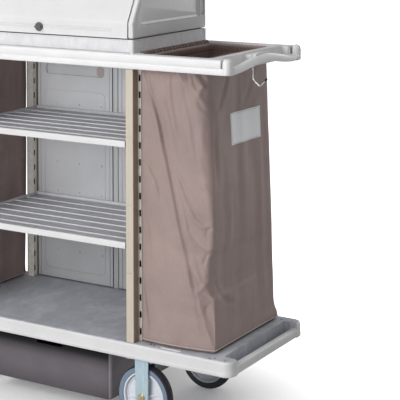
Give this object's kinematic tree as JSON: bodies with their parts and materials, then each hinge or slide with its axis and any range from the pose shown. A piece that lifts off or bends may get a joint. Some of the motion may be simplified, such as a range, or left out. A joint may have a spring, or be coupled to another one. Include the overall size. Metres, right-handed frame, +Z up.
{
  "type": "housekeeping cart",
  "caption": "Wheeled housekeeping cart with a hood over an open shelved bay, a hanging fabric linen bag at the ends, casters, and a sliding box under the lower deck.",
  "frame": {"origin": "on the floor under the middle of the cart's outer box", "axes": "+X along the cart toward the end with the rigid casters, -Y toward the front where the hood lid opens and the box slides out, +Z up"},
  "size_m": [1.465, 0.464, 1.4],
  "materials": {
    "polymer": "fine-textured light grey moulded polymer",
    "beige_cover": "satin beige",
    "upright_steel": "cream powder coat",
    "panel_grey": "fine-textured grey",
    "shelf_grey": "fine-textured grey",
    "dark_plastic": "fine-textured dark grey",
    "zinc": "bright zinc plate",
    "bright_steel": "satin",
    "tyre": "matte",
    "hub_plastic": "semi-gloss light grey",
    "fabric": "plain woven, matte"
  },
  "bodies": {
    "cart": {"lower_deck": "polymer", "top_deck": "polymer", "hood_base": "polymer", "hood_side_left": "polymer", "hood_side_right": "polymer", "hood_back": "polymer", "upright_front_left": "upright_steel", "upright_cover_front_left": "beige_cover", "upright_front_right": "upright_steel", "upright_cover_front_right": "beige_cover", "upright_rear_left": "upright_steel", "upright_cover_rear_left": "beige_cover", "upright_rear_right": "upright_steel", "upright_cover_rear_right": "beige_cover", "rear_panel_left": "panel_grey", "rear_panel_right": "panel_grey", "rear_mullion": "panel_grey", "shelf_upper": "shelf_grey", "shelf_lower": "shelf_grey", "organizer_tray": "shelf_grey", "shelf_bracket_upper_left": "upright_steel", "shelf_bracket_upper_right": "upright_steel", "shelf_bracket_lower_left": "upright_steel", "shelf_bracket_lower_right": "upright_steel", "hinge_pin_left": "bright_steel", "hinge_pin_right": "bright_steel", "bag_hoop_left": "bright_steel", "bag_hoop_right": "bright_steel", "linen_bag_left": "fabric", "linen_bag_right": "fabric", "fork_front_right": "zinc", "axle_bolt_front_right": "bright_steel", "caster_plate_front_left": "zinc", "fork_rear_right": "zinc", "axle_bolt_rear_right": "bright_steel", "caster_plate_rear_left": "zinc", "box_runner_left": "zinc", "box_runner_right": "zinc"},
    "lid": {"hood_lid": "polymer"},
    "latch": {"lid_latch": "dark_plastic"},
    "wheel_front_left": {"hub_front_left": "hub_plastic", "tyre_front_left": "tyre"},
    "wheel_front_right": {"hub_front_right": "hub_plastic", "tyre_front_right": "tyre"},
    "swivel_front": {"fork_front_left": "zinc", "axle_bolt_front_left": "bright_steel"},
    "pedal_front": {"brake_pedal_front_left": "dark_plastic"},
    "wheel_rear_left": {"hub_rear_left": "hub_plastic", "tyre_rear_left": "tyre"},
    "wheel_rear_right": {"hub_rear_right": "hub_plastic", "tyre_rear_right": "tyre"},
    "swivel_rear": {"fork_rear_left": "zinc", "axle_bolt_rear_left": "bright_steel"},
    "pedal_rear": {"brake_pedal_rear_left": "dark_plastic"},
    "box": {"under_box": "dark_plastic"},
    "hook_left": {"utility_hook_left": "bright_steel"},
    "hook_right": {"utility_hook_right": "bright_steel"}
  },
  "joints": [
    {"name": "lid_hinge", "type": "hinge", "parent": "cart", "child": "lid", "pos_m": [0, 0.208, 1.3905], "axis": [-1, 0, 0], "range_deg": [0, 95]},
    {"name": "latch_turn", "type": "hinge", "parent": "lid", "child": "latch", "pos_m": [0, -0.21, 1.188], "axis": [0, 1, 0], "range_deg": [0, 90]},
    {"name": "wheel_spin_front_right", "type": "hinge", "parent": "cart", "child": "wheel_front_right", "pos_m": [0.3764, -0.181, 0.0921], "axis": [0, 1, 0], "continuous": true},
    {"name": "caster_swivel_front", "type": "hinge", "parent": "cart", "child": "swivel_front", "pos_m": [-0.377, -0.181, 0.19], "axis": [0, 0, 1], "continuous": true},
    {"name": "wheel_spin_front_left", "type": "hinge", "parent": "swivel_front", "child": "wheel_front_left", "pos_m": [-0.407, -0.181, 0.0921], "axis": [0, 1, 0], "continuous": true},
    {"name": "brake_pedal_press_front", "type": "hinge", "parent": "swivel_front", "child": "pedal_front", "pos_m": [-0.4535, -0.181, 0.1975], "axis": [0, -1, 0], "range_deg": [0, 12]},
    {"name": "wheel_spin_rear_right", "type": "hinge", "parent": "cart", "child": "wheel_rear_right", "pos_m": [0.3764, 0.181, 0.0921], "axis": [0, 1, 0], "continuous": true},
    {"name": "caster_swivel_rear", "type": "hinge", "parent": "cart", "child": "swivel_rear", "pos_m": [-0.377, 0.181, 0.19], "axis": [0, 0, 1], "continuous": true},
    {"name": "wheel_spin_rear_left", "type": "hinge", "parent": "swivel_rear", "child": "wheel_rear_left", "pos_m": [-0.407, 0.181, 0.0921], "axis": [0, 1, 0], "continuous": true},
    {"name": "brake_pedal_press_rear", "type": "hinge", "parent": "swivel_rear", "child": "pedal_rear", "pos_m": [-0.4535, 0.181, 0.1975], "axis": [0, -1, 0], "range_deg": [0, 12]},
    {"name": "box_slide", "type": "slide", "parent": "cart", "child": "box", "axis": [0, -1, 0], "range_m": [0, 0.28]},
    {"name": "hook_swivel_left", "type": "hinge", "parent": "cart", "child": "hook_left", "pos_m": [-0.685, -0.064, 1.07], "axis": [0, 0, 1], "range_deg": [-90, 90]},
    {"name": "hook_swivel_right", "type": "hinge", "parent": "cart", "child": "hook_right", "pos_m": [0.685, -0.064, 1.07], "axis": [0, 0, 1], "range_deg": [-90, 90]}
  ]
}
